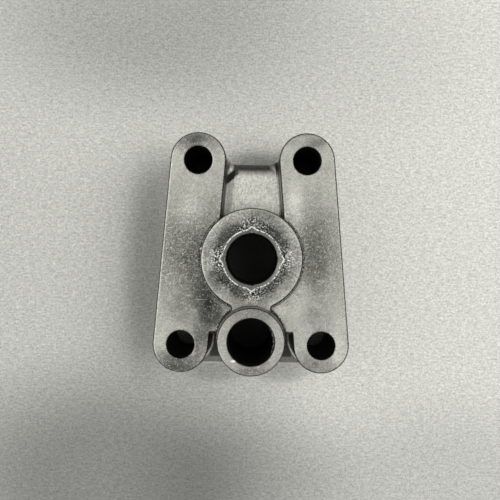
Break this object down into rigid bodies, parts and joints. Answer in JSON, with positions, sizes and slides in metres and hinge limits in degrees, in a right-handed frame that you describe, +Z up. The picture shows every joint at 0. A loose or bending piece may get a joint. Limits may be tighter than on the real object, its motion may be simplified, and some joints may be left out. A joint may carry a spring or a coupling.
{
  "type": "die cast housing",
  "caption": "Aluminium die-cast housing with two bolting legs, a recessed web, a large bearing bore and a smaller tube bore side by side, hollow underneath.",
  "frame": {"origin": "centre of the four-hole bolt pattern, on the flat base face", "axes": "+Z up from the base face along the bores, +Y from the tube towards the recessed end, +X to the right of both"},
  "size_m": [0.0658, 0.0806, 0.031],
  "materials": {
    "cast_aluminium": "as-cast, tumbled satin"
  },
  "bodies": {
    "root": {"cast_housing": "cast_aluminium"}
  },
  "joints": []
}
